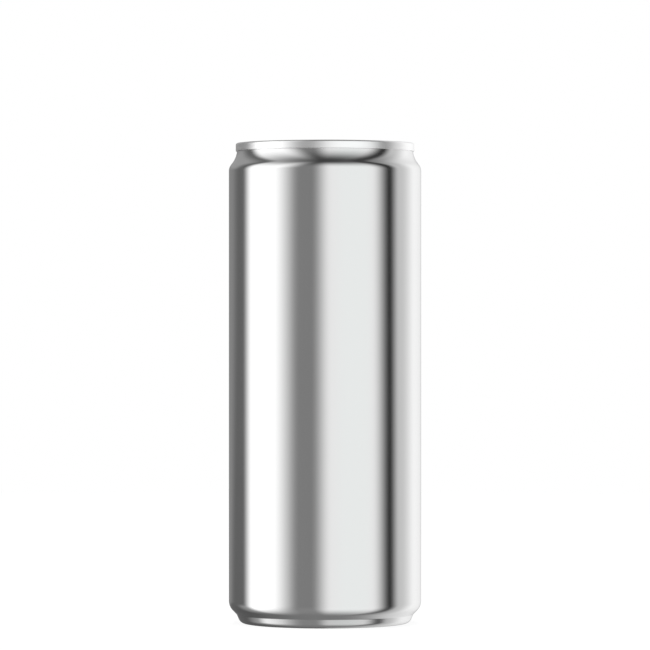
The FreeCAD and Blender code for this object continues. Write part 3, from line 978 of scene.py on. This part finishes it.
@dataclass(frozen=True)
class PullTab:
    """The stay-on tab as pressed and rolled sheet, with its slot, beads and finger hole."""

    sizes: LidSizes
    cell: float = 0.1 * MM
    nose_radius: float = 7.6 * MM
    nose_place: float = -0.6 * MM
    curl_width: float = 1.55 * MM
    curl_round: float = 0.55 * MM
    web_lift: float = 0.2 * MM
    web_thickness: float = 0.5 * MM
    hole_radius: float = 1.95 * MM
    slot_radius: float = 4.3 * MM
    slot_half_width: float = 0.4 * MM
    slot_start: float = -0.2 * MM
    cut_lip: float = 0.06 * MM
    bead_radius: float = 5.05 * MM
    bead_half_width: float = 0.55 * MM
    bead_height: float = 0.28 * MM
    bead_steepness: float = 1.5
    bead_fade: Point = (-1.2 * MM, -2.4 * MM)
    finger_radius: float = 3.8 * MM
    finger_half_span: float = 1.3 * MM
    finger_rim: float = 2.0 * MM
    finger_curl: float = 1.1 * MM
    finger_curl_height: float = 0.96
    finger_curl_round: float = 0.95
    blend: float = 0.22 * MM

    @staticmethod
    def _bar(u: np.ndarray, v: np.ndarray, half_u: float, half_v: float, rounding: float) -> np.ndarray:
        """Distance to a rounded bar centred on u = v = 0 in its own section.

        Args:
            u: places across the bar.
            v: heights from its middle.
            half_u: half its width.
            half_v: half its height.
            rounding: radius of its corners.

        Returns:
            The distance of each point.
        """
        du = np.abs(u) - (half_u - rounding)
        dv = np.abs(v) - (half_v - rounding)
        outside = np.hypot(np.maximum(du, 0.0), np.maximum(dv, 0.0))
        return outside + np.minimum(np.maximum(du, dv), 0.0) - rounding

    def _merge(self, a: np.ndarray, b: np.ndarray) -> np.ndarray:
        """Join two shapes with a small fillet between them."""
        mix = np.clip(0.5 + 0.5 * (b - a) / self.blend, 0.0, 1.0)
        return b * (1 - mix) + a * mix - self.blend * mix * (1 - mix)

    def distance(self, x: np.ndarray, y: np.ndarray, z: np.ndarray) -> np.ndarray:
        """Distance outside the tab's metal, negative inside it.

        Args:
            x: places across the can.
            y: places towards the tab's heel.
            z: heights.

        Returns:
            The distance of each point.
        """
        low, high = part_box("pull_tab")
        half_height = (high.z - low.z) / 2
        middle = (high.z + low.z) / 2
        nose = (self.nose_radius, self.nose_place)
        heel = (self.sizes.tab_heel_radius, self.sizes.tab_heel_place)
        edge = two_discs(x, y, nose, heel)
        half_curl = self.curl_width / 2
        curl = self._bar(edge + half_curl, z - middle, half_curl, half_height, self.curl_round)

        finger_place = sum(heel) - self.finger_rim - self.finger_radius
        hole = lying_oval(x, y, self.finger_radius, self.finger_half_span, finger_place)
        half_ring = self.finger_curl / 2
        ring_height = half_height * self.finger_curl_height
        ring_round = half_ring * self.finger_curl_round
        ring = self._bar(hole - half_ring, z - middle, half_ring, ring_height, ring_round)

        web_z = low.z + self.web_lift + self.web_thickness / 2 + self._bead(x, y)
        web = np.maximum(np.abs(z - web_z) - self.web_thickness / 2, edge + half_curl)
        metal = self._merge(self._merge(curl, web), ring)

        radius = np.hypot(x, y)
        metal = self._carve(metal, radius - self.hole_radius)
        before_slot = np.maximum(self.slot_start - y, 0.0)
        slot = np.hypot(radius - self.slot_radius, before_slot) - self.slot_half_width
        metal = self._carve(metal, slot)
        return np.maximum(metal, -hole)

    def _carve(self, metal: np.ndarray, tool: np.ndarray) -> np.ndarray:
        """Cut a tool out of the metal and break the edge that it leaves."""
        mix = np.clip(0.5 - 0.5 * (metal + tool) / self.cut_lip, 0.0, 1.0)
        return metal * (1 - mix) - tool * mix + self.cut_lip * mix * (1 - mix)

    def _bead(self, x: np.ndarray, y: np.ndarray) -> np.ndarray:
        """How far the web is pressed up into the stiffening bead before the rivet.

        Args:
            x: places across the can.
            y: places towards the tab's heel.

        Returns:
            The rise at each place.
        """
        off = (np.hypot(x, y) - self.bead_radius) / self.bead_half_width
        crown = np.clip(1 - off**2, 0.0, 1.0) ** self.bead_steepness
        return self.bead_height * crown * ease(y, *self.bead_fade)

    def build(self) -> None:
        """Mesh the tab from its distance field and dress it."""
        low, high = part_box("pull_tab")
        margin = 2 * self.cell
        lowest = np.array(low) - margin
        highest = np.array(high) + margin
        piece = MeshMaker.level_set("pull_tab_sheet", self.distance, lowest, highest, self.cell)
        MeshMaker.hand_over(piece, "pull_tab", "tab_aluminium", TAB_FINISH.material())


# -------------------- studio


@dataclass(frozen=True)
class Reach:
    """How a panel of light ends over and under the horizon, in degrees.

    Sizes:
        above: heights over the horizon between which it fades out.
        below: depths under the horizon between which it fades out.
        lean: how far its left and right edges move to the right for each degree over the horizon.
        sink: how far they move to the right for each degree under it.
    """

    above: Point
    below: Point
    lean: Point = (0.0, 0.0)
    sink: Point = (0.0, 0.0)


@dataclass(frozen=True)
class StudioPanel:
    """One soft panel of light round the can, as the metal sees it.

    Sizes; an azimuth is 0 degrees in front of the can and grows to its right:
        name: where the panel stands.
        level: its brightness, where 1 is white.
        rise: azimuths between which its left edge fades in.
        fall: azimuths between which its right edge fades out.
        reach: how it ends over and under the horizon.
        tint: its colour, as a factor on the level.
    """

    name: str
    level: float
    rise: Point
    fall: Point
    reach: Reach
    tint: Colour = NEUTRAL


@dataclass(frozen=True)
class Studio:
    """A white room with soft panels: the world, the floor and one overhead lamp.

    Sizes:
        floor_glow, floor_albedo: the floor's own light and how much it sends back.
        horizon, zenith, nadir: the room's level between the panels, there and straight up and down.
        lamp_power, lamp_size, lamp_height: the lamp over the can, in watts and metres.
    """

    floor_radius: float = 0.95
    floor_steps: int = 64
    floor_glow: float = 0.88
    floor_albedo: float = 0.2
    horizon: float = 0.024
    zenith: float = 0.06
    nadir: float = 0.22
    lamp_power: float = 6.0
    lamp_size: float = 0.9
    lamp_height: float = 1.1

    def panels(self) -> list[StudioPanel]:
        """The panels, from behind on the left round to behind on the right.

        Returns:
            The panels of light.
        """
        room = Reach((8.0, 80.0), (16.0, 92.0))
        front = Reach((8.0, 80.0), (16.0, 92.0), lean=(0.0, -0.09), sink=(0.0, 0.13))
        upper = Reach((30.0, 84.0), (0.0, 46.0))
        leaning = Reach((30.0, 84.0), (0.0, 46.0), lean=(0.0, 0.4), sink=(0.0, -3.0))
        ceiling = Reach((40.0, 88.0), (-12.0, -1.0))
        table = Reach((-16.0, -4.0), (30.0, 60.0))
        box = Reach((10.0, 85.0), (8.0, 74.0), lean=(0.03, 0.28), sink=(0.06, -0.13))
        back = Reach((12.0, 84.0), (10.0, 86.0))
        side = Reach((12.0, 84.0), (10.0, 86.0), sink=(0.13, 0.0))
        behind = (-181.0, -180.0)
        return [
            StudioPanel("fill", 0.12, (-125.0, -105.0), (57.0, 84.0), room),
            StudioPanel("left back", 0.12, behind, (-125.0, -105.0), upper),
            StudioPanel("left back, narrow", 0.12, behind, (-150.0, -125.0), leaning),
            StudioPanel("left ceiling", 0.10, behind, (-142.0, -118.0), ceiling),
            StudioPanel("left table", 0.20, (-138.0, -116.0), (-85.0, -60.0), table),
            StudioPanel("left softbox", 1.27, (-116.5, -97.0), (-68.0, -30.0), box),
            StudioPanel("between the softboxes", 0.10, (-60.0, -40.0), (-20.0, 5.0), room),
            StudioPanel("front softbox", 0.89, (-17.0, 8.0), (57.0, 84.0), front),
            StudioPanel("cool reflector", 0.02, (5.0, 25.0), (48.0, 62.0), room, COOL),
            StudioPanel("right side", 0.66, (83.5, 100.5), (156.0, 196.0), side),
            StudioPanel("right back", 0.48, (102.0, 136.0), (125.0, 205.0), back),
        ]

    def build_world(self) -> None:
        """Light the world by the panels, and show it plain white to the camera."""
        world = bpy.data.worlds.new("soft_studio")
        world.use_nodes = True
        bpy.context.scene.world = world
        graph = Graph(world.node_tree)
        way = graph.add("ShaderNodeTexCoord").outputs["Generated"]
        x, y, z = graph.add("ShaderNodeSeparateXYZ", {0: way}).outputs
        turn = graph.math("ARCTAN2", x, graph.math("MULTIPLY", y, -1.0))
        azimuth = graph.math("MULTIPLY", turn, 180 / math.pi)
        height = graph.math("MULTIPLY", graph.math("ARCSINE", z), 180 / math.pi)
        depth = graph.math("MULTIPLY", height, -1.0)
        risen = graph.math("MAXIMUM", height, 0.0)
        sunk = graph.math("MAXIMUM", depth, 0.0)
        over = graph.math("MULTIPLY", graph.smooth(height, 0.0, 90.0), self.zenith - self.horizon)
        under = graph.math("MULTIPLY", graph.smooth(depth, 0.0, 90.0), self.nadir - self.horizon)
        room = graph.math("ADD", graph.math("ADD", over, under), self.horizon)
        light = graph.add("ShaderNodeCombineXYZ", {0: room, 1: room, 2: room}).outputs[0]
        for panel in self.panels():
            reach = panel.reach
            left_turn, right_turn = (
                graph.math("MULTIPLY_ADD", sunk, -sink, graph.math("MULTIPLY_ADD", risen, -lean, azimuth))
                for lean, sink in zip(reach.lean, reach.sink)
            )
            left = graph.smooth(left_turn, *panel.rise)
            right = graph.smooth(right_turn, *reversed(panel.fall))
            above = graph.smooth(height, *reversed(reach.above))
            below = graph.smooth(depth, *reversed(reach.below))
            width = graph.math("MULTIPLY", left, right)
            share = graph.math("MULTIPLY", width, graph.math("MULTIPLY", above, below))
            colour = tuple(channel * panel.level for channel in panel.tint)
            glow = graph.add("ShaderNodeVectorMath", {0: colour, "Scale": share}, operation="SCALE")
            glow.label = panel.name
            total = graph.add("ShaderNodeVectorMath", {0: light, 1: glow.outputs[0]}, operation="ADD")
            light = total.outputs[0]
        studio = graph.add("ShaderNodeBackground", {"Color": light, "Strength": 1.0})
        white = graph.add("ShaderNodeBackground", {"Color": (*NEUTRAL, 1.0), "Strength": 1.0})
        seen = graph.add("ShaderNodeLightPath").outputs["Is Camera Ray"]
        mixed = graph.add("ShaderNodeMixShader", {0: seen, 1: studio.outputs[0], 2: white.outputs[0]})
        graph.add("ShaderNodeOutputWorld", {"Surface": mixed.outputs[0]})

    def build_floor(self) -> None:
        """A pale floor that takes the can's shadow and lets the metal mirror the room beyond it."""
        mesh = bpy.data.meshes.new("pale_floor")
        work = bmesh.new()
        bmesh.ops.create_circle(
            work, cap_ends=True, radius=self.floor_radius, segments=self.floor_steps
        )
        work.to_mesh(mesh)
        work.free()
        floor = bpy.data.objects.new("pale_floor", mesh)
        bpy.context.scene.collection.objects.link(floor)
        material = bpy.data.materials.new("pale_floor")
        material.use_nodes = True
        graph = Graph(material.node_tree)
        albedo = (self.floor_albedo, self.floor_albedo, self.floor_albedo, 1.0)
        matt = graph.add("ShaderNodeBsdfDiffuse", {"Color": albedo})
        glow = graph.add("ShaderNodeEmission", {"Color": (*NEUTRAL, 1.0), "Strength": self.floor_glow})
        pale = graph.add("ShaderNodeAddShader", {0: matt.outputs[0], 1: glow.outputs[0]})
        clear = graph.add("ShaderNodeBsdfTransparent")
        mirrored = graph.add("ShaderNodeLightPath").outputs["Is Glossy Ray"]
        mixed = graph.add("ShaderNodeMixShader", {0: mirrored, 1: pale.outputs[0], 2: clear.outputs[0]})
        graph.add("ShaderNodeOutputMaterial", {"Surface": mixed.outputs[0]})
        mesh.materials.append(material)

    def build_lamp(self) -> None:
        """A broad lamp overhead that only the floor sees, for the soft shadow at the can's foot."""
        lamp = bpy.data.lights.new("overhead_softbox", "AREA")
        lamp.shape = "DISK"
        lamp.size = self.lamp_size
        lamp.energy = self.lamp_power
        holder = bpy.data.objects.new("overhead_softbox", lamp)
        holder.location = (0.0, 0.0, self.lamp_height)
        holder.visible_glossy = False
        holder.visible_camera = False
        bpy.context.scene.collection.objects.link(holder)

    def build(self) -> None:
        """Set up the world, the floor and the lamp."""
        bpy.context.scene.view_settings.view_transform = "Standard"
        self.build_world()
        self.build_floor()
        self.build_lamp()
        LOG.info("studio: %d panels of light", len(self.panels()))


@dataclass(frozen=True)
class FrontCamera:
    """A long lens, level with the can's upper half."""

    distance: float = 1212.3 * MM
    height: float = 82.63 * MM
    lens_mm: float = 242.14
    sensor_mm: float = 36.0

    def build(self) -> None:
        """Make the camera and hand it to the scene."""
        data = bpy.data.cameras.new("front_camera")
        data.lens = self.lens_mm
        data.sensor_width = self.sensor_mm
        camera = bpy.data.objects.new("front_camera", data)
        camera.location = (0.0, -self.distance, self.height)
        camera.rotation_euler = (math.pi / 2, 0.0, 0.0)
        bpy.context.scene.collection.objects.link(camera)
        bpy.context.scene.camera = camera


def main() -> None:
    """Build the camera, the can's pieces and the studio, in that order."""
    logging.basicConfig(level=logging.INFO, format="%(message)s")
    FrontCamera().build()
    sizes = LidSizes()
    seam = SeamSizes()
    makers = [CanWall(seam), LidRing(sizes, seam), LidPanel(sizes), Rivet(sizes), PullTab(sizes)]
    for maker in makers:
        maker.build()
    Studio().build()


if __name__ == "__main__":
    main()
